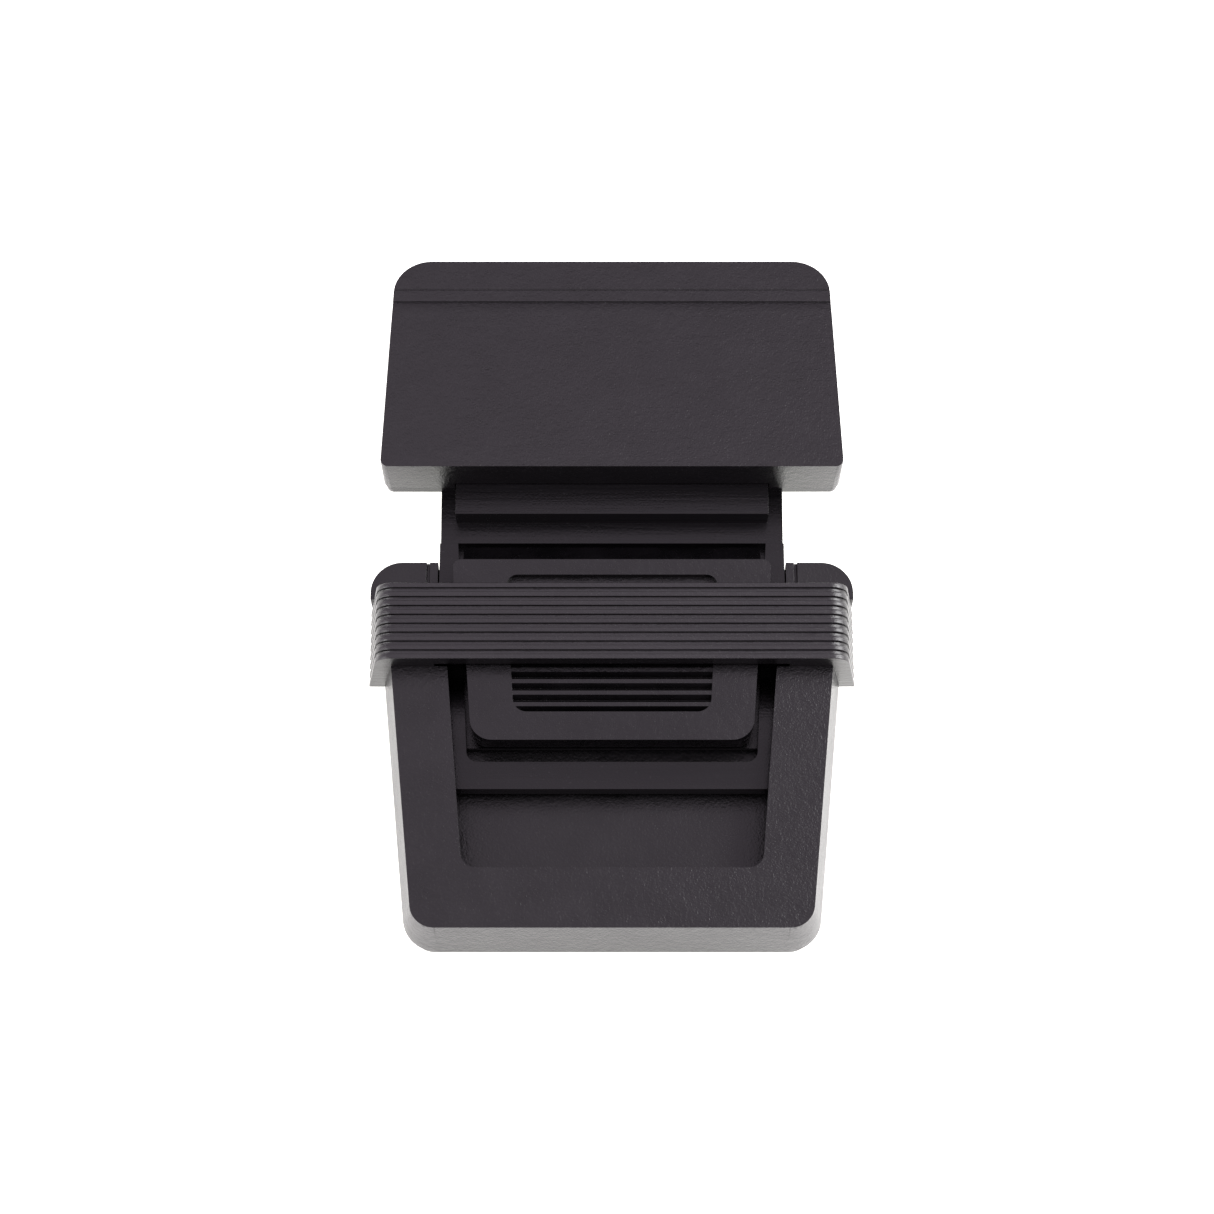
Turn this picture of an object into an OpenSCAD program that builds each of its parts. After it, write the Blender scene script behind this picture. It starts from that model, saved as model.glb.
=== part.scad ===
// Front-release belt buckle in three bodies: a socket, an insert with a wedge-shaped head, and a sprung
// release button hinged in the insert. The insert is shown part way in, with the button under the grip band.
// Millimetres. +Z is up from the surface the buckle rests on, +Y runs from the socket's end to the head and
// X is across the belt. The origin is at the middle of the outline, on the resting surface.

/* [Belt] */
// width of the webbing the buckle takes
webbing_w = 38; // [25:0.5:50]
// clear length of each slot the webbing passes through
slot_len = 4.4; // [3:0.1:8]
// width of the two strap bars along the belt
bar_w = 3.2; // [2.5:0.1:5]

/* [Socket] */
// length of the socket's face between its near end and the window
border_len = 7; // [5.5:0.1:10]
// length of the window
window_len = 20.6; // [16:0.1:28]
// length of the ribbed grip band
band_len = 8; // [6:0.1:12]
// length of the shelf behind the grip band
shelf_len = 4; // [2:0.1:6]
// height of the socket's shell
shell_h = 5.8; // [5.2:0.1:7.5]
// thickness of the socket's floor
floor_t = 1.2; // [0.8:0.1:2]
// thickness of the shell's face around the window
face_t = 1.7; // [1.2:0.1:1.9]
// thickness of the bridge over the insert
bridge_t = 1.7; // [1.2:0.1:3]
// how far each end of the grip band stands out past the shell
ear_out = 1.65; // [0.8:0.05:3]
// number of ribs along the grip band
band_ribs = 9; // [6:1:14]

/* [Insert] */
// how far the insert still has to go before it latches
travel = 11.5; // [8:0.1:16]
// thickness of the insert
insert_t = 2.1; // [1.8:0.1:3]
// thickness of the skin under the button's pocket
skin_t = 0.6; // [0.5:0.05:0.8]
// height of the raised block on the neck
block_h = 2.5; // [1.5:0.1:3.5]
// diameter of the button's hinge pin
pin_d = 1.2; // [0.8:0.05:1.4]

/* [Button] */
// height of the pad's face above the insert
pad_rise = 2.7; // [2.4:0.1:3.5]
// thickness of the pad
pad_t = 1.5; // [1.2:0.1:1.8]
// depth of the sunk thumb area
thumb_depth = 0.8; // [0.4:0.1:1]
// distance between ribs in the thumb area
thumb_pitch = 1.2; // [0.9:0.01:1.6]

/* [Head] */
// length of the head beyond its webbing slots
head_end_len = 4.9; // [4.5:0.1:10]
// height of the head's near face
head_face_h = 5.75; // [4.8:0.05:8]
// share of that height that the wedge loses towards its thin end
wedge_share = 0.66; // [0.35:0.01:0.66]
// height of the frames under the buckle that hold the webbing
keeper_h = 3.6; // [3:0.1:5]

/* [Hidden] */
$fn = 64;
eps = 0.01;
// rounded corners stand this far past their straight sides, so that the two cross cleanly
round_overlap = 0.002;
far_away = 200;

// clearances
slide_gap = 0.2;
side_gap = 0.15;
band_gap = 0.3;
pin_gap = 0.04;
webbing_gap = 0.65;

// positions along the belt, all measured from the ends of the outline
head_lead_len = 4.4;
head_rail_w = 3.4;
head_len = head_lead_len + head_rail_w + 2 * slot_len + bar_w + head_end_len;
socket_len = border_len + window_len + band_len;
overall_len = socket_len + travel + head_len;
y_end = -overall_len / 2;
y_window = y_end + border_len;
y_band_near = y_window + window_len;
y_band_far = y_band_near + band_len;
y_shelf = y_band_far + shelf_len;
y_head = y_band_far + travel;
y_far = overall_len / 2;
pad_end_gap = 1.33;
catch_gap = 0.25;
y_pad_far = y_band_near - catch_gap + travel;
y_pad_near = y_window + pad_end_gap + travel;
pocket_gap = 1.45;
y_pocket = y_pad_near - pocket_gap;
lead_len = 2.8;
y_lead = y_pocket - lead_len;
slot_gap = 2.75;
y_seam = y_pad_far + slot_gap;
block_setback = 3.25;
y_block = y_head - block_setback;
y_hinge = y_pad_near + 2.35;

// heights
z_base = keeper_h;
z_ear = z_base - 0.7;
z_floor = z_base + floor_t;
z_insert = z_floor + slide_gap;
z_plate = z_insert + insert_t;
z_pocket = z_insert + skin_t;
z_shelf = z_plate - slide_gap;
z_shell = z_base + shell_h;
z_pad = z_plate + pad_rise;
z_bridge = z_pad + band_gap;
z_band = z_bridge + bridge_t;
z_block = z_plate + block_h;
lip_t = 1.2;
seam_h = 0.25;
z_lip = z_plate + lip_t;
z_cover = z_lip + seam_h;
z_head = z_cover + head_face_h;
far_face_h = head_face_h * (1 - wedge_share);
z_far = z_cover + far_face_h;
z_hinge = z_pocket + 1.3;

// widths across the belt, given as half widths from the middle
insert_x = webbing_w / 2 - 1.5;
channel_x = insert_x + side_gap;
mouth_x = insert_x + 1;
block_x = insert_x - 1.65;
pad_far_x = insert_x - 1.5;
pad_mid_x = insert_x - 3.05;
pad_near_x = insert_x - 3.6;
pocket_far_x = insert_x - 1.85;
pocket_near_x = insert_x - 3.1;
window_far_x = insert_x - 1.1;
window_near_x = insert_x - 2.85;
shell_far_x = webbing_w / 2 + 4;
shell_near_x = webbing_w / 2 + 1.3;
shell_draft = 1;
ear_x = shell_far_x + ear_out;
ear_top_x = ear_x - 1.3;
shelf_x = ear_x - 0.2;
leg_x = shell_far_x - 0.6;
head_near_x = webbing_w / 2 + 4.25;
head_far_x = webbing_w / 2 + 3.5;
slot_x = webbing_w / 2 + webbing_gap;

// walls and small features
wall_t = 1.4;
end_wall_t = 3.5;
thumb_rim_far = 1.65;
thumb_rim_near = 2.92;
thumb_far_x = pad_far_x * 0.665;
thumb_near_x = pad_mid_x * 0.675;
screw_shank_r = 0.75;
screw_head_r = 1.35;
screw_head_h = 0.9;
screw_sink = 0.3;

// the unit vector along v
function unit(v) = v / norm(v);

// the tangent points and the centre of a rounded corner of radius r
function corner(before, at, after, r) =
    let (to_before = unit(before - at), to_after = unit(after - at), half = acos(to_before * to_after) / 2)
    r == 0
        ? [[at], at]
        : [[at + to_before * r / tan(half), at + to_after * r / tan(half)],
           at + unit(to_before + to_after) * r / sin(half)];

// a convex outline with one radius for each of its corners
module rounded(points, radii) {
    n = len(points);
    corners = [for (i = [0:n - 1]) corner(points[(i + n - 1) % n], points[i], points[(i + 1) % n], radii[i])];
    polygon([for (c = corners) each c[0]]);
    for (i = [0:n - 1])
        if (radii[i] > 0)
            translate(corners[i][1])
                circle(r = radii[i] + round_overlap);
}

// a four-cornered outline that narrows along the belt, near corners first
module tapered(near_x, far_x, near_y, far_y, near_r, far_r)
    rounded([[-near_x, near_y], [near_x, near_y], [far_x, far_y], [-far_x, far_y]],
            [near_r, near_r, far_r, far_r]);

// a plate between two heights with the outline given as its child
module slab(low_z, high_z)
    translate([0, 0, low_z])
        linear_extrude(high_z - low_z)
            children();

// a box given by its two opposite corners
module block(low, high)
    translate(low)
        cube(high - low);

// a profile drawn in the Y-Z plane and drawn out across the belt
module across(half_x)
    translate([-half_x, 0, 0])
        rotate([90, 0, 90])
            linear_extrude(2 * half_x)
                children();

module mirrored() {
    children();
    mirror([1, 0, 0])
        children();
}

// half the shell's width at its base, at a distance y along the belt
function shell_x(y) = shell_near_x + (shell_far_x - shell_near_x) * (y - y_end) / (y_band_near - y_end);

// ---- socket ----

// the half-space outside one drafted wall that starts at the point (x, y) and runs at the angle turn
module outside_wall(x, y, turn, draft, height)
    translate([x, y, z_base])
        rotate([0, 0, turn])
            rotate([-atan(draft / height), 0, 0])
                translate([-far_away / 2, -far_away, -far_away / 2])
                    cube([far_away, far_away, far_away]);

// everything outside a drafted corner: a block in the corner's quadrant less a cone
module outside_corner(x, y, turn, r) {
    reach = 4 * r;
    translate([x, y, z_base - eps])
        difference() {
            rotate([0, 0, turn])
                linear_extrude(shell_h + 2 * eps)
                    polygon([[0, 0], [0, -reach], [reach, -reach], [reach, 0]]);
            cylinder(r1 = r, r2 = r - shell_draft, h = shell_h + 2 * eps);
        }
}

module shell_body() {
    corner_r = 3.4;
    side_turn = atan((shell_far_x - shell_near_x) / (y_band_near - y_end));
    difference() {
        block([-shell_far_x, y_end, z_base], [shell_far_x, y_band_near, z_shell]);
        outside_wall(0, y_end, 0, shell_draft, shell_h);
        mirrored()
            outside_wall(shell_near_x, y_end, 90 - side_turn, shell_draft, shell_h);
        mirrored()
            outside_corner(shell_x(y_end + corner_r) - corner_r / cos(side_turn), y_end + corner_r,
                           -side_turn / 2, corner_r);
    }
}

module window_outline()
    tapered(window_near_x, window_far_x, y_window, y_band_near + eps, 1.5, 0);

module channel_outline()
    tapered(channel_x, channel_x, y_end + end_wall_t, y_band_near + eps, 1.2, 0);

module socket_shell() {
    color([0.13, 0.12, 0.13])
        difference() {
            shell_body();
            slab(z_shell - face_t - eps, z_shell + eps)
                window_outline();
            slab(z_base - eps, z_shell - face_t)
                channel_outline();
            slab(z_base - eps, z_floor)
                floor_outline(slide_gap / 2);
            socket_screw_places(near_screw_y)
                cylinder(r = screw_shank_r, h = shell_h - face_t);
        }
}

// the part of the floor that the shell covers, grown by a clearance
module floor_outline(grow)
    tapered(channel_x + 0.6 + grow, channel_x + 1.2 + grow,
            y_end + end_wall_t - grow, y_band_near + eps, 1.2, 0);

near_screw_y = y_end + 2.4;
far_screw_y = y_band_near + band_len / 2;
near_screw_x = insert_x - 4.5;
far_screw_x = (channel_x + leg_x) / 2;

module socket_screw_places(y) {
    x = y == near_screw_y ? near_screw_x : far_screw_x;
    mirrored()
        translate([x, y, z_base])
            children();
}

module shelf_outline()
    rounded([[-leg_x, y_band_near], [leg_x, y_band_near], [leg_x, y_band_far], [shelf_x, y_band_far],
             [shelf_x, y_shelf], [-shelf_x, y_shelf], [-shelf_x, y_band_far], [-leg_x, y_band_far]],
            [0, 0, 0, 0, 0, 0, 0, 0]);

module socket_floor() {
    corner_r = 3.2;
    line_w = 0.3;
    line_depth = 0.4;
    color([0.12, 0.11, 0.12])
        difference() {
            union() {
                slab(z_base, z_floor)
                    floor_outline(0);
                intersection() {
                    slab(z_base, z_shelf)
                        shelf_outline();
                    slab(z_base, z_shelf)
                        tapered(shelf_x, shelf_x, y_band_near - corner_r, y_shelf, 0, corner_r);
                }
            }
            slab(z_floor, z_shelf + eps)
                tapered(channel_x, channel_x, y_band_near - eps, y_shelf + eps, 0, 0);
            // a recess under the window
            slab(z_floor - 0.5, z_floor + eps)
                tapered(channel_x - 2, channel_x - 1.3, y_window - 0.6, y_band_near - 1, 1.2, 0);
            // a shallow line beside the channel's mouth
            mirrored()
                block([mouth_x, y_band_far, z_shelf - line_depth],
                      [mouth_x + line_w, y_shelf + eps, z_shelf + eps]);
            socket_screw_places(far_screw_y)
                translate([0, 0, -eps])
                    cylinder(r = screw_shank_r + 0.1, h = z_shelf - z_base + 2 * eps);
        }
}

// the grip band seen from its near end, drawn in to the size between its ribs by a groove depth
module band_profile(inset) {
    top_x = ear_top_x - inset * 0.5;
    base_x = ear_x - inset;
    shoulder_r = 1.8;
    rounded([[-base_x, z_ear], [base_x, z_ear], [top_x, z_band - inset], [-top_x, z_band - inset]],
            [0, 0, shoulder_r, shoulder_r]);
}

module band_slice(near_y, far_y, inset)
    translate([0, far_y, 0])
        rotate([90, 0, 0])
            linear_extrude(far_y - near_y)
                band_profile(inset);

module grip_band() {
    groove_depth = 0.28;
    groove_share = 0.45;
    pitch = band_len / (band_ribs - groove_share);
    groove = pitch * groove_share;
    color([0.14, 0.13, 0.14])
        difference() {
            union() {
                band_slice(y_band_near, y_band_far, groove_depth);
                for (i = [0:band_ribs - 1])
                    band_slice(y_band_near + i * pitch, y_band_near + (i + 1) * pitch - groove, 0);
            }
            block([-leg_x, y_band_near - eps, z_ear - eps], [leg_x, y_band_far + eps, z_shelf]);
            block([-channel_x, y_band_near - eps, z_shelf - eps], [channel_x, y_band_far + eps, z_bridge]);
            socket_screw_places(far_screw_y)
                cylinder(r = screw_shank_r, h = 7.4);
        }
}

// the frame of webbing slots under either half; the child is its outline
module slotted_frame(low_z, high_z, slot_near, far_slot_near) {
    difference() {
        slab(low_z, high_z)
            children();
        for (y = [slot_near, far_slot_near])
            block([-slot_x, y, low_z - eps], [slot_x, y + slot_len, high_z + eps]);
        block([-slot_x, slot_near, bar_t + 0.2], [slot_x, far_slot_near, high_z + eps]);
        bar_seat(slot_near + slot_len, 0);
    }
}

bar_t = 1.6;
bar_grip = 0.6;

// a strap bar that starts at y, with its ends held in the frame
module strap_bar(y) {
    half = slot_x + bar_grip;
    edge_r = 0.5;
    intersection() {
        block([-half, y, 0.2], [half, y + bar_w, 0.2 + bar_t]);
        across(half)
            rounded([[y, 0.2], [y + bar_w, 0.2], [y + bar_w, 0.2 + bar_t], [y, 0.2 + bar_t]],
                    [edge_r, edge_r, edge_r, edge_r]);
    }
}

module bar_seat(y, grow)
    block([-slot_x - bar_grip, y - grow, -eps], [slot_x + bar_grip, y + bar_w + grow, 0.2 + bar_t]);

socket_slot_y = y_end + 4.6;
socket_bar_y = socket_slot_y + slot_len;
socket_far_slot_y = socket_bar_y + bar_w;

module socket_keeper() {
    edge = 0.7;
    near_y = y_end + 0.8;
    rib_y = socket_far_slot_y + slot_len;
    color([0.11, 0.1, 0.11])
        difference() {
            slotted_frame(0, z_base, socket_slot_y, socket_far_slot_y)
                tapered(shell_x(near_y) - edge, leg_x - 0.15, near_y, y_band_far - 0.2, 2.2, 1.5);
            // lightening pockets in the underside between the far slot and the far edge
            for (x = [-14.4, -4.8, 4.8, 14.4] * webbing_w / 38)
                block([x - 3.9, rib_y + 1.6, -eps], [x + 3.9, y_band_near - 1.2, z_base - 1.2]);
            socket_screw_places(near_screw_y)
                keeper_screw_hole(z_base);
            socket_screw_places(far_screw_y)
                keeper_screw_hole(z_base);
        }
}

// a countersunk hole through a frame, cut downwards from where it is placed
module keeper_screw_hole(depth)
    translate([0, 0, -depth])
        union() {
            translate([0, 0, -eps])
                cylinder(r = screw_shank_r + 0.1, h = depth + 2 * eps);
            translate([0, 0, -eps])
                cylinder(r = screw_head_r + 0.1, h = screw_sink + eps);
            translate([0, 0, screw_sink])
                cylinder(r1 = screw_head_r + 0.1, r2 = screw_shank_r + 0.1, h = screw_head_h);
        }

module socket_strap_bar()
    color([0.55, 0.56, 0.58])
        strap_bar(socket_bar_y);

// a countersunk cross-head screw standing on the resting plane with its head down
module screw(length) {
    slot_w = 0.45;
    slot_l = 1.9;
    difference() {
        union() {
            translate([0, 0, screw_sink])
                cylinder(r1 = screw_head_r, r2 = screw_shank_r - 0.02, h = screw_head_h);
            translate([0, 0, screw_sink])
                cylinder(r = screw_shank_r - 0.02, h = length);
        }
        for (turn = [0, 90])
            rotate([0, 0, turn])
                translate([-slot_l / 2, -slot_w / 2, screw_sink - eps])
                    cube([slot_l, slot_w, 0.7]);
    }
}

module socket_screws() {
    length = z_base + 3.6;
    color([0.5, 0.5, 0.52])
        for (y = [near_screw_y, far_screw_y])
            socket_screw_places(y)
                translate([0, 0, -z_base])
                    screw(length);
}

// ---- insert ----

head_near_rail_y = y_head + head_lead_len;
head_slot_y = head_near_rail_y + head_rail_w;
head_bar_y = head_slot_y + slot_len;
head_far_slot_y = head_bar_y + bar_w;
head_screw_near_y = head_near_rail_y + head_rail_w / 2;
head_screw_far_y = y_far - 3.15;
head_screw_x = insert_x - 7.5;
tongue_t = 0.9;
tongue_end_y = head_near_rail_y + head_rail_w;

module head_screw_places()
    mirrored()
        for (y = [head_screw_near_y, head_screw_far_y])
            translate([head_screw_x, y, 0])
                children();

module head_screw_holes()
    head_screw_places()
        translate([0, 0, z_insert - eps])
            cylinder(r = screw_shank_r + 0.1, h = z_lip - z_insert + 2 * eps);

module pocket_outline()
    tapered(pocket_near_x, pocket_far_x, y_pocket, y_seam + eps, 1.1, 0);

module hinge_axis(half_x, r)
    translate([-half_x, y_hinge, z_hinge])
        rotate([0, 90, 0])
            cylinder(r = r, h = 2 * half_x);

hinge_lug_x = 8;
hinge_lug_w = 2;
ear_gap = 0.2;
pin_half = hinge_lug_x + 2 * hinge_lug_w + ear_gap;

// a ramp along each side of the pocket, falling ever more steeply away from the near end
module pocket_ramps() {
    near_y = y_pad_near + 0.3;
    ramp_len = y_band_near + 1 - near_y;
    fall = z_plate - z_pocket - 0.1;
    steps = 8;
    curve = [for (i = [0:steps]) [near_y + ramp_len * i / steps, z_plate - fall * pow(i / steps, 1.5)]];
    across(insert_x - 0.9)
        polygon(concat(curve, [[near_y + ramp_len, z_plate + eps], [near_y, z_plate + eps]]));
}

module insert_frame() {
    ear_r = 1;
    ear_near_x = hinge_lug_x + hinge_lug_w + ear_gap;
    lead_chamfer = 0.5;
    color([0.12, 0.11, 0.12])
        difference() {
            union() {
                difference() {
                    slab(z_insert, z_plate)
                        tapered(insert_x, insert_x, y_lead, y_seam, 2.5, 0);
                    slab(z_pocket, z_plate + eps)
                        pocket_outline();
                    pocket_ramps();
                    // an open slot through the pocket's floor in front of the button
                    intersection() {
                        slab(z_insert - eps, z_pocket + eps)
                            pocket_outline();
                        block([-insert_x, y_pocket - 1, z_insert - 1],
                              [insert_x, y_pad_near + 0.4, z_pocket + 1]);
                    }
                }
                slab(z_insert, z_insert + tongue_t)
                    tapered(insert_x - 1.5, insert_x - 1.5, y_seam - eps, tongue_end_y, 0, 0);
                // ears that hold the hinge pin
                mirrored()
                    translate([ear_near_x, y_hinge, z_hinge])
                        rotate([0, 90, 0])
                            cylinder(r = ear_r, h = hinge_lug_w);
                mirrored()
                    block([ear_near_x, y_hinge - ear_r, z_pocket - eps],
                          [ear_near_x + hinge_lug_w, y_hinge + ear_r, z_hinge]);
            }
            // chamfer under the leading edge
            translate([0, y_lead, z_insert])
                rotate([45, 0, 0])
                    cube([far_away, lead_chamfer, lead_chamfer], center = true);
            hinge_axis(pin_half + eps, pin_d / 2);
            translate([0, 0, eps])
                head_screw_holes();
            spring_rivet_places()
                translate([0, 0, -eps])
                    cylinder(r = rivet_r + 0.02, h = skin_t + 2 * eps);
        }
}

module neck_plate() {
    // the plate's underside rests on the frame's tongue
    underside = z_insert + tongue_t;
    rail_inset = 0.1;
    end_y = tongue_end_y - 0.2;
    color([0.13, 0.12, 0.13])
        difference() {
            union() {
                slab(underside, z_plate)
                    tapered(insert_x - rail_inset, insert_x, y_seam, end_y, 0, 0);
                slab(z_plate - eps, z_block)
                    tapered(block_x, block_x, y_block, y_head + wall_t + 0.6, 0, 0);
                mirrored()
                    block([insert_x - 1.5, y_seam, z_insert],
                          [insert_x - rail_inset, end_y, underside + eps]);
            }
            slab(z_insert - eps, underside)
                tapered(insert_x - 1.45, insert_x - 1.45, y_seam - 1, end_y + 1, 0, 0);
            head_screw_holes();
        }
}

module head_outline(grow) {
    near_x = head_near_x + grow;
    far_x = head_far_x + grow;
    rounded([[-near_x, y_head - min(grow, 0)], [near_x, y_head - min(grow, 0)],
             [far_x, y_far + min(grow, 0)], [-far_x, y_far + min(grow, 0)]],
            [0.8, 0.8, 3.9, 3.9]);
}

// the height of the wedge's top surface at a distance y along the belt
function wedge_z(y) = z_head - (z_head - z_far) * (y - y_head) / (y_far - y_head);

module wedge_profile(shrink)
    polygon([[y_head + shrink, z_cover - far_away / 10], [y_head + shrink, wedge_z(y_head) - shrink],
             [y_far - shrink, wedge_z(y_far) - shrink], [y_far - shrink, z_cover - far_away / 10]]);

// a shallow step cut across the wedge: its floor falls away towards the thin end and stops at a low wall
module cove_profile() {
    far_y = y_far - 5.05;
    near_y = far_y - 1.3;
    wall_y = far_y + 0.1;
    depth = 0.18;
    polygon([[near_y, wedge_z(near_y) + eps], [near_y, wedge_z(near_y)],
             [far_y, wedge_z(far_y) - depth], [wall_y, wedge_z(wall_y) + eps]]);
}

// a thin parting line across the wedge, nearer to its thin end
module line_profile() {
    y = y_far - 3.5;
    half_w = 0.15;
    depth = 0.1;
    polygon([[y - half_w, wedge_z(y - half_w) + eps], [y, wedge_z(y) - depth],
             [y + half_w, wedge_z(y + half_w) + eps]]);
}

head_post_h = far_face_h - wall_t;

module head_base() {
    rebate = wall_t + 0.1;
    rim_w = 1;
    rim_h = min(0.6, seam_h + far_face_h - wall_t - 0.15);
    post_r = 1.6;
    color([0.12, 0.11, 0.12])
        difference() {
            union() {
                slab(z_plate, z_lip)
                    head_outline(-0.15);
                // rim that the cover fits over
                difference() {
                    slab(z_lip - eps, z_lip + rim_h)
                        head_outline(-rebate);
                    slab(z_lip - 1, z_lip + 1)
                        head_outline(-rebate - rim_w);
                }
                head_screw_places()
                    translate([0, 0, z_lip - eps])
                        cylinder(r = post_r, h = head_post_h);
            }
            // notch for the raised block
            block([-block_x - 0.1, y_head - 1, z_plate - eps],
                  [block_x + 0.1, y_head + wall_t + 0.7, z_shell + 5]);
            head_screw_holes();
            head_screw_places()
                translate([0, 0, z_lip - eps])
                    cylinder(r = screw_shank_r, h = head_post_h * 0.7);
        }
}

module head_cover() {
    color([0.15, 0.14, 0.15])
        difference() {
            intersection() {
                across(far_away / 4)
                    wedge_profile(0);
                slab(z_cover, z_head + eps)
                    head_outline(0);
            }
            intersection() {
                across(far_away / 4)
                    wedge_profile(wall_t);
                slab(z_cover - eps, z_head)
                    head_outline(-wall_t);
            }
            across(far_away / 4)
                cove_profile();
            across(far_away / 4)
                line_profile();
            // opening in the near face for the raised block
            block([-block_x - 0.1, y_head - 1, z_cover - eps],
                  [block_x + 0.1, y_head + wall_t + 1, z_block + 0.1]);
        }
}

module head_keeper() {
    side_x = slot_x + 2.4;
    end_y = y_far - 0.9;
    color([0.11, 0.1, 0.11])
        difference() {
            slotted_frame(0, z_plate, head_slot_y, head_far_slot_y)
                tapered(side_x, side_x - 0.4, head_near_rail_y, end_y, 1, 2.6);
            // seat for the neck
            block([-insert_x - 0.05, head_near_rail_y - 1, z_insert],
                  [insert_x + 0.05, head_slot_y + eps, z_plate + eps]);
            head_screw_places()
                translate([0, 0, z_insert])
                    keeper_screw_hole(z_insert);
            head_screw_places()
                cylinder(r = screw_shank_r + 0.1, h = z_plate + eps);
        }
}

module head_strap_bar()
    color([0.55, 0.56, 0.58])
        strap_bar(head_bar_y);

module head_screws()
    color([0.5, 0.5, 0.52])
        head_screw_places()
            screw(z_lip + head_post_h * 0.5 - screw_sink);

module hinge_pin()
    color([0.6, 0.6, 0.62])
        hinge_axis(pin_half, pin_d / 2);

strip_t = 0.3;
rivet_r = 0.7;
rivet_y = y_hinge + 3.6;

module spring_rivet_places()
    mirrored()
        translate([2, rivet_y, z_insert])
            children();

module leaf_spring() {
    strip_x = 4;
    foot_near_y = rivet_y - 1.5;
    arch_near_y = rivet_y + 1.5;
    arch_far_y = y_pad_far - 1.6;
    span = arch_far_y - arch_near_y;
    rise = z_pad - pad_t - z_pocket - 0.08;
    arch_r = (span * span / 4 + rise * rise) / (2 * rise);
    centre_y = (arch_near_y + arch_far_y) / 2;
    color([0.6, 0.61, 0.63])
        difference() {
            union() {
                block([-strip_x, foot_near_y, z_pocket], [strip_x, arch_near_y + 0.4, z_pocket + strip_t]);
                intersection() {
                    across(strip_x)
                        translate([centre_y, z_pocket + rise - arch_r])
                            difference() {
                                circle(r = arch_r, $fn = 128);
                                circle(r = arch_r - strip_t, $fn = 128);
                            }
                    block([-strip_x, arch_near_y - 1, z_pocket],
                          [strip_x, arch_far_y + 1, z_pocket + rise + 1]);
                }
            }
            spring_rivet_places()
                cylinder(r = rivet_r + 0.02, h = 3);
        }
}

module spring_rivets()
    color([0.62, 0.6, 0.5])
        spring_rivet_places() {
            cylinder(r = rivet_r, h = skin_t + strip_t);
            translate([0, 0, skin_t + strip_t])
                cylinder(r1 = rivet_r + 0.4, r2 = rivet_r, h = 0.4);
        }

// ---- button ----

module pad_outline() {
    mid_y = y_pad_far - 11.5;
    shoulder_y = y_pad_far - 3.3;
    rounded([[-pad_near_x, y_pad_near], [pad_near_x, y_pad_near], [pad_mid_x, mid_y],
             [pad_far_x - 0.15, shoulder_y], [pad_far_x, y_pad_far], [-pad_far_x, y_pad_far],
             [-pad_far_x + 0.15, shoulder_y], [-pad_mid_x, mid_y]],
            [2.2, 2.2, 0, 0, 0.8, 0.8, 0, 0]);
}

// crests across the thumb area with V-shaped valleys between them, their ends let into its sides
module thumb_ribs() {
    crest_w = 0.42;
    crest_drop = 0.1;
    slope_w = (thumb_pitch - crest_w) / 2;
    near_y = y_pad_near + thumb_rim_near + 0.2;
    far_y = y_pad_far - thumb_rim_far - 0.2;
    low = z_pad - thumb_depth - eps;
    high = z_pad - crest_drop;
    for (i = [0:floor((far_y - near_y) / thumb_pitch) - 1])
        translate([0, near_y + i * thumb_pitch, 0])
            across(thumb_far_x + 0.6)
                polygon([[0, low], [thumb_pitch, low], [thumb_pitch - slope_w, high], [slope_w, high]]);
}

module release_button() {
    lug_r = 1.15;
    skirt_far_x = pocket_far_x - 0.45;
    skirt_near_x = pad_near_x - 0.2;
    skirt_t = 1.3;
    skirt_low = z_pocket + 1.25;
    underside = z_pad - pad_t;
    nose_len = slot_gap - 0.35;
    nose_top = z_pad - 1.2;
    color([0.14, 0.13, 0.14])
        difference() {
            union() {
                difference() {
                    slab(underside, z_pad)
                        pad_outline();
                    slab(z_pad - thumb_depth, z_pad + eps)
                        tapered(thumb_near_x, thumb_far_x,
                                y_pad_near + thumb_rim_near, y_pad_far - thumb_rim_far, 1.4, 1.1);
                }
                thumb_ribs();
                // skirt that reaches down into the pocket
                difference() {
                    slab(skirt_low, underside + eps)
                        tapered(skirt_near_x, skirt_far_x, y_pad_near + 0.15, y_pad_far - 0.5, 1.5, 0.5);
                    slab(skirt_low - eps, underside + 2 * eps)
                        tapered(skirt_near_x - skirt_t, skirt_far_x - skirt_t, y_pad_near + 0.15 + 0.9,
                                y_pad_far - 0.5 - skirt_t, 0, 0);
                }
                // latch nose that stands out below the pad's far edge
                across(pad_far_x - 0.95)
                    polygon([[y_pad_far - 1, skirt_low], [y_pad_far + nose_len, skirt_low],
                             [y_pad_far, nose_top], [y_pad_far - 1, nose_top]]);
                // lugs that turn on the hinge pin
                mirrored()
                    translate([hinge_lug_x, y_hinge, z_hinge])
                        rotate([0, 90, 0])
                            cylinder(r = lug_r, h = hinge_lug_w);
                mirrored()
                    block([hinge_lug_x, y_hinge - lug_r + 0.15, z_hinge],
                          [hinge_lug_x + hinge_lug_w, y_hinge + lug_r - 0.15, underside + eps]);
            }
            hinge_axis(pin_half + 0.3, pin_d / 2 + pin_gap);
        }
}

socket_shell();
socket_floor();
grip_band();
socket_keeper();
socket_strap_bar();
socket_screws();
insert_frame();
neck_plate();
head_base();
head_cover();
head_keeper();
head_strap_bar();
head_screws();
hinge_pin();
leaf_spring();
spring_rivets();
release_button();
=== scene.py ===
"""Looks of the front-release belt buckle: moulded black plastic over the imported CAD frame."""

import math

import bpy
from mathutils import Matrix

MM = 0.001

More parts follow.
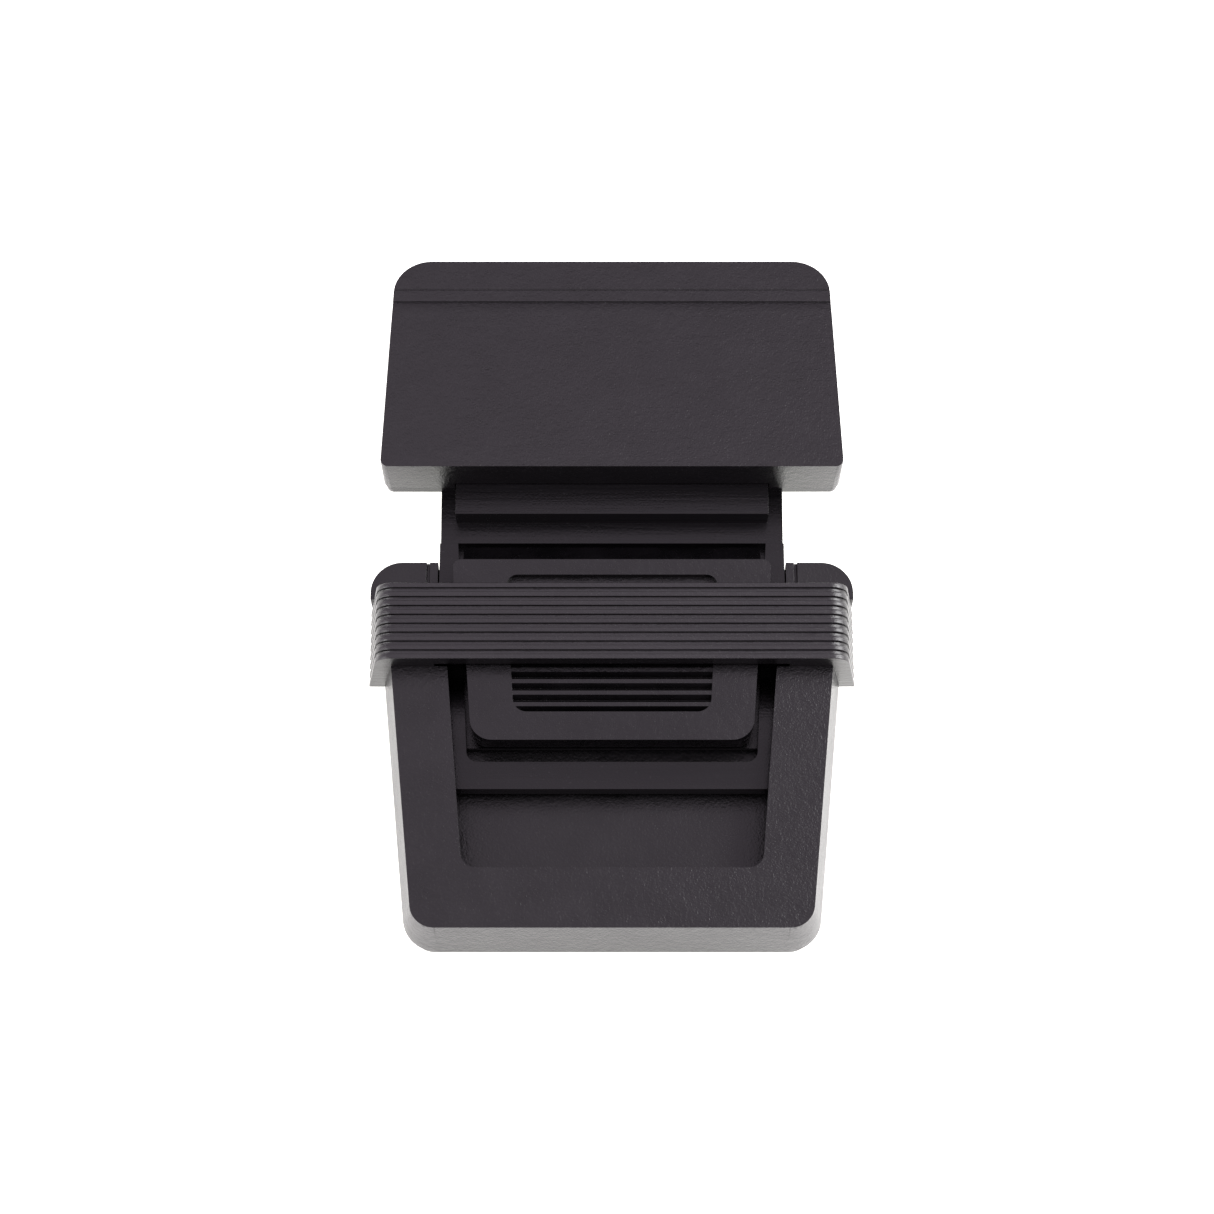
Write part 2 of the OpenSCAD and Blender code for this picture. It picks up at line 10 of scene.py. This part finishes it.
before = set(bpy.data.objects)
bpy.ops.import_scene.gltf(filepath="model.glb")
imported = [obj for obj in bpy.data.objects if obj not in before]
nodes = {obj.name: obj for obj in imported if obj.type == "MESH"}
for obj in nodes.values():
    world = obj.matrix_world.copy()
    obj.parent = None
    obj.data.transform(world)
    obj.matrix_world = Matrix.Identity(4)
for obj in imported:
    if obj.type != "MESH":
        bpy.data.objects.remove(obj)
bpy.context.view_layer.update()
scene = bpy.context.scene

# ---- camera, light and floor ----

CAMERA_TILT_DEG = 20.0
CAMERA_DISTANCE = 292 * MM
CAMERA_TARGET = (-0.5 * MM, -2.9 * MM, 11.8 * MM)
CAMERA_LENS_MM = 87.2
SENSOR_MM = 36.0
NEAREST_SEEN = 10 * MM

DOME_COLOUR = (1.0, 0.87, 1.02)
# the dome's brightness against how far a direction leans along the belt, from the socket (-1) to the head (1)
DOME_BRIGHTNESS = (
    (-1.0, 0.45),
    (-0.5, 0.75),
    (0.0, 0.9),
    (0.35, 0.98),
    (0.66, 1.25),
    (0.76, 0.7),
    (0.95, 0.3),
)
FLOOR_HALF_WIDTH = 1.5
FLOOR_COLOUR = (0.93, 0.93, 0.92)
FLOOR_ROUGHNESS = 0.9
FLOOR_GLOW = (1.0, 1.02, 0.93)
FLOOR_GLOW_STRENGTH = 1.02
SOFTBOX_SIZE = 0.4


def add_camera():
    """The camera looks down on the face from the socket's end."""
    tilt = math.radians(CAMERA_TILT_DEG)
    data = bpy.data.cameras.new("camera")
    data.lens = CAMERA_LENS_MM
    data.sensor_width = SENSOR_MM
    data.clip_start = NEAREST_SEEN
    camera = bpy.data.objects.new("camera", data)
    x, y, z = CAMERA_TARGET
    camera.location = (x, y - CAMERA_DISTANCE * math.sin(tilt), z + CAMERA_DISTANCE * math.cos(tilt))
    camera.rotation_euler = (tilt, 0, 0)
    scene.collection.objects.link(camera)
    scene.camera = camera


def add_softbox(name, position, power):
    """A square soft box that faces the origin."""
    data = bpy.data.lights.new(name, "AREA")
    data.shape = "SQUARE"
    data.size = SOFTBOX_SIZE
    data.energy = power
    light = bpy.data.objects.new(name, data)
    light.location = position
    x, y, z = position
    from_up = math.acos(z / math.hypot(x, y, z))
    light.rotation_euler = (from_up, 0, math.atan2(-x, y) + math.pi)
    scene.collection.objects.link(light)


def add_dome():
    """A pale studio dome, brightest above the head and dimmer towards the horizon at both ends."""
    world = bpy.data.worlds.new("studio")
    world.use_nodes = True
    tree = world.node_tree
    background = tree.nodes["Background"]
    place = tree.nodes.new("ShaderNodeTexCoord")
    split = tree.nodes.new("ShaderNodeSeparateXYZ")
    lean = tree.nodes.new("ShaderNodeMapRange")
    ramp = tree.nodes.new("ShaderNodeValToRGB")
    tint = tree.nodes.new("ShaderNodeMix")
    tint.data_type = "RGBA"
    tint.blend_type = "MULTIPLY"
    tint.inputs["Factor"].default_value = 1.0
    tint.inputs["B"].default_value = (*DOME_COLOUR, 1)
    lean.inputs["From Min"].default_value = -1.0
    stops = ramp.color_ramp.elements
    while len(stops) < len(DOME_BRIGHTNESS):
        stops.new(0.5)
    for stop, (value, brightness) in zip(stops, DOME_BRIGHTNESS):
        stop.position = (value + 1) / 2
        stop.color = (brightness, brightness, brightness, 1)
    tree.links.new(place.outputs["Generated"], split.inputs["Vector"])
    tree.links.new(split.outputs["Y"], lean.inputs["Value"])
    tree.links.new(lean.outputs["Result"], ramp.inputs["Fac"])
    tree.links.new(ramp.outputs["Color"], tint.inputs["A"])
    tree.links.new(tint.outputs["Result"], background.inputs["Color"])
    scene.world = world


def add_surroundings():
    """A plain white studio: a pale dome, two soft boxes and a bright floor."""
    add_dome()
    scene.view_settings.view_transform = "Standard"

    add_softbox("softbox_left", position=(-0.45, -0.12, 0.32), power=2.0)
    add_softbox("softbox_right", position=(0.42, 0.08, 0.34), power=4.2)
    add_floor()


def add_floor():
    """A large square floor that glows a little, so that it renders as plain white."""
    half = FLOOR_HALF_WIDTH
    mesh = bpy.data.meshes.new("floor")
    corners = [(-half, -half, 0), (half, -half, 0), (half, half, 0), (-half, half, 0)]
    mesh.from_pydata(corners, [], [(0, 1, 2, 3)])
    floor = bpy.data.objects.new("floor", mesh)
    scene.collection.objects.link(floor)
    material = bpy.data.materials.new("floor_white")
    material.use_nodes = True
    shader = material.node_tree.nodes["Principled BSDF"]
    shader.inputs["Base Color"].default_value = (*FLOOR_COLOUR, 1)
    shader.inputs["Roughness"].default_value = FLOOR_ROUGHNESS
    shader.inputs["Emission Color"].default_value = (*FLOOR_GLOW, 1)
    shader.inputs["Emission Strength"].default_value = FLOOR_GLOW_STRENGTH
    mesh.materials.append(material)


# ---- materials ----


class Nodes:
    """A short way to add and link shader nodes in one material."""

    def __init__(self, name):
        self.material = bpy.data.materials.new(name)
        self.material.use_nodes = True
        self.tree = self.material.node_tree
        self.shader = self.tree.nodes["Principled BSDF"]
        self.place = self.add("ShaderNodeTexCoord").outputs["Object"]

    def add(self, kind, **settings):
        node = self.tree.nodes.new(kind)
        for key, value in settings.items():
            setattr(node, key, value)
        return node

    def link(self, source, target):
        self.tree.links.new(source, target)

    def noise(self, scale, detail=3.0, roughness=0.55, stretch=(1, 1, 1)):
        """Noise whose features are about 1/scale metres; stretch makes streaks."""
        mapping = self.add("ShaderNodeMapping")
        mapping.inputs["Scale"].default_value = stretch
        self.link(self.place, mapping.inputs["Vector"])
        noise = self.add("ShaderNodeTexNoise")
        noise.inputs["Scale"].default_value = scale
        noise.inputs["Detail"].default_value = detail
        noise.inputs["Roughness"].default_value = roughness
        self.link(mapping.outputs["Vector"], noise.inputs["Vector"])
        return noise.outputs["Fac"]

    def spread(self, value, low, high, out_low, out_high):
        """Maps value from low..high to out_low..out_high."""
        node = self.add("ShaderNodeMapRange")
        self.link(value, node.inputs["Value"])
        limits = {"From Min": low, "From Max": high, "To Min": out_low, "To Max": out_high}
        for name, number in limits.items():
            node.inputs[name].default_value = number
        return node.outputs["Result"]

    def mix_colour(self, factor, first, second):
        """Mixes two colours, each a tuple or another node's output."""
        node = self.add("ShaderNodeMix", data_type="RGBA")
        self.link(factor, node.inputs["Factor"])
        for socket, colour in ((node.inputs["A"], first), (node.inputs["B"], second)):
            if isinstance(colour, tuple):
                socket.default_value = (*colour, 1)
            else:
                self.link(colour, socket)
        return node.outputs["Result"]

    def bump(self, height, depth, onto=None):
        """Raises the surface by up to depth metres, on top of another bump if there is one."""
        node = self.add("ShaderNodeBump")
        node.inputs["Distance"].default_value = depth
        node.inputs["Strength"].default_value = 1.0
        self.link(height, node.inputs["Height"])
        if onto is not None:
            self.link(onto, node.inputs["Normal"])
        return node.outputs["Normal"]


FACE_DARK = (0.0008, 0.0007, 0.0009)
FACE_LIGHT = (0.0022, 0.0018, 0.0024)
DUST = (0.012, 0.011, 0.012)
PLASTIC_IOR = 1.5
FLOW_SCALE = 260
FLOW_DEPTH = 0.02 * MM
SPECK_SCALE = 2600
SCUFF_SCALE = 900
GLOSS_SPREAD = 0.03
FACE_MOTTLE = (0.7 * MM, 0.05 * MM)
FAINT_MOTTLE = (0.6 * MM, 0.016 * MM)

# the middle part of a noise's range, which holds nearly all of its values
NOISE_LOW = 0.3
NOISE_HIGH = 0.7

DRAWN_LINE_SCALE = 4000
DRAWN_LINE_DEPTH = 0.01 * MM
PATCH_SCALE = 300
PATCH_DARKNESS = 0.7


def moulded_plastic(name, sheen_level, gloss, grain, mottle, streaks=(1, 1, 1)):
    """Black moulded plastic: fine spark grain, a soft mottle, faint flow marks and small scuffs.

    grain and mottle are each a (size, depth) pair, and streaks stretches the mottle and the flow marks.
    """
    grain_size, grain_depth = grain
    mottle_size, mottle_depth = mottle
    plastic = Nodes(name)
    grain_noise = plastic.noise(1 / grain_size, detail=2.0)
    mottle_noise = plastic.noise(1 / mottle_size, detail=3.0, roughness=0.6, stretch=streaks)
    flow = plastic.noise(FLOW_SCALE, detail=4.0, stretch=streaks)
    specks = plastic.noise(SPECK_SCALE, detail=1.0)
    scuffs = plastic.noise(SCUFF_SCALE, detail=5.0, roughness=0.7, stretch=(1, 0.12, 1))
    tone = plastic.mix_colour(plastic.spread(flow, NOISE_LOW, NOISE_HIGH, 0, 1), FACE_DARK, FACE_LIGHT)
    speck_mask = plastic.spread(specks, 0.70, 0.78, 0, 0.5)
    plastic.link(plastic.mix_colour(speck_mask, tone, DUST), plastic.shader.inputs["Base Color"])
    scuff_mask = plastic.spread(scuffs, 0.62, 0.75, 0, 0.06)
    base_gloss = plastic.spread(flow, NOISE_LOW, NOISE_HIGH, gloss - GLOSS_SPREAD, gloss + GLOSS_SPREAD)
    total = plastic.add("ShaderNodeMath", operation="ADD")
    plastic.link(base_gloss, total.inputs[0])
    plastic.link(scuff_mask, total.inputs[1])
    plastic.link(total.outputs["Value"], plastic.shader.inputs["Roughness"])
    wave = plastic.bump(mottle_noise, mottle_depth, onto=plastic.bump(flow, FLOW_DEPTH))
    plastic.link(plastic.bump(grain_noise, grain_depth, onto=wave), plastic.shader.inputs["Normal"])
    plastic.shader.inputs["IOR"].default_value = PLASTIC_IOR
    plastic.shader.inputs["Specular IOR Level"].default_value = sheen_level
    return plastic.material


def metal(name, colour, gloss, streaks):
    """Steel or brass with fine drawn lines and a slightly dull patchy finish."""
    drawn = Nodes(name)
    lines = drawn.noise(DRAWN_LINE_SCALE, detail=3.0, stretch=streaks)
    patches = drawn.noise(PATCH_SCALE, detail=4.0)
    darker = tuple(c * PATCH_DARKNESS for c in colour)
    patch_mask = drawn.spread(patches, 0.35, 0.7, 0, 1)
    drawn.link(drawn.mix_colour(patch_mask, colour, darker), drawn.shader.inputs["Base Color"])
    line_gloss = drawn.spread(lines, NOISE_LOW, NOISE_HIGH, gloss - 0.08, gloss + 0.12)
    drawn.link(line_gloss, drawn.shader.inputs["Roughness"])
    drawn.link(drawn.bump(lines, DRAWN_LINE_DEPTH), drawn.shader.inputs["Normal"])
    drawn.shader.inputs["Metallic"].default_value = 1.0
    return drawn.material


shell_plastic = moulded_plastic("shell_plastic", 0.52, 0.3, (0.19 * MM, 0.045 * MM), FACE_MOTTLE)
cap_plastic = moulded_plastic("cap_plastic", 0.58, 0.3, (0.19 * MM, 0.045 * MM), FACE_MOTTLE)
band_plastic = moulded_plastic("band_plastic", 0.7, 0.3, (0.14 * MM, 0.03 * MM), FACE_MOTTLE,
                               streaks=(0.3, 1.5, 1))
button_plastic = moulded_plastic("button_plastic", 0.5, 0.28, (0.14 * MM, 0.025 * MM), FACE_MOTTLE)
inner_plastic = moulded_plastic("inner_plastic", 0.4, 0.27, (0.2 * MM, 0.02 * MM), FAINT_MOTTLE,
                                streaks=(0.08, 2.2, 1))
sparked_plastic = moulded_plastic("sparked_plastic", 0.5, 0.32, (0.22 * MM, 0.035 * MM), FAINT_MOTTLE)
bar_steel = metal("bar_steel", (0.55, 0.55, 0.57), 0.32, (0.05, 1, 1))
screw_steel = metal("screw_steel", (0.5, 0.5, 0.52), 0.3, (1, 1, 1))
spring_steel = metal("spring_steel", (0.6, 0.61, 0.63), 0.25, (1, 0.05, 1))
rivet_brass = metal("rivet_brass", (0.75, 0.58, 0.28), 0.3, (1, 1, 1))

FINISHES = {
    "socket_shell": shell_plastic,
    "socket_floor": sparked_plastic,
    "grip_band": band_plastic,
    "socket_keeper": inner_plastic,
    "socket_strap_bar": bar_steel,
    "socket_screws": screw_steel,
    "insert_frame": inner_plastic,
    "neck_plate": inner_plastic,
    "head_base": inner_plastic,
    "head_cover": cap_plastic,
    "head_keeper": inner_plastic,
    "head_strap_bar": bar_steel,
    "head_screws": screw_steel,
    "hinge_pin": screw_steel,
    "leaf_spring": spring_steel,
    "spring_rivets": rivet_brass,
    "release_button": button_plastic,
}

# the rounding that the mould leaves along each part's edges
EDGE_ROUND = {
    "socket_shell": 0.35 * MM,
    "head_cover": 0.3 * MM,
    "release_button": 0.18 * MM,
    "grip_band": 0.13 * MM,
    "socket_floor": 0.15 * MM,
    "insert_frame": 0.12 * MM,
    "neck_plate": 0.35 * MM,
    "head_base": 0.15 * MM,
    "socket_keeper": 0.25 * MM,
    "head_keeper": 0.25 * MM,
}

# the socket keeper's underside has pockets and holes that one merged flat face can't go round
KEEP_TRIANGLES = {"socket_keeper"}

WELD_DISTANCE = 0.001 * MM
FLAT_ANGLE_DEG = 0.5
SHARP_ANGLE_DEG = 35
EDGE_SEGMENTS = 3
FACE_NORMAL_WEIGHT = 80


def round_edges(node, width, merge_flats):
    """Rounds the node's sharp edges, after its flat faces are merged so that the rounding stays clean."""
    weld = node.modifiers.new("weld", "WELD")
    weld.merge_threshold = WELD_DISTANCE
    if merge_flats:
        flats = node.modifiers.new("flats", "DECIMATE")
        flats.decimate_type = "DISSOLVE"
        flats.angle_limit = math.radians(FLAT_ANGLE_DEG)
    bevel = node.modifiers.new("edges", "BEVEL")
    bevel.width = width
    bevel.segments = EDGE_SEGMENTS
    bevel.limit_method = "ANGLE"
    bevel.angle_limit = math.radians(SHARP_ANGLE_DEG)
    bevel.harden_normals = False
    bevel.miter_outer = "MITER_ARC"
    normals = node.modifiers.new("normals", "WEIGHTED_NORMAL")
    normals.keep_sharp = False
    normals.weight = FACE_NORMAL_WEIGHT


def finish_node(name):
    """Gives a CAD node its material and rounds its edges if it is a moulded part."""
    node = nodes[name]
    node.data.materials.clear()
    node.data.materials.append(FINISHES[name])
    if name in EDGE_ROUND:
        round_edges(node, EDGE_ROUND[name], merge_flats=name not in KEEP_TRIANGLES)


add_camera()
add_surroundings()
for node_name in FINISHES:
    finish_node(node_name)
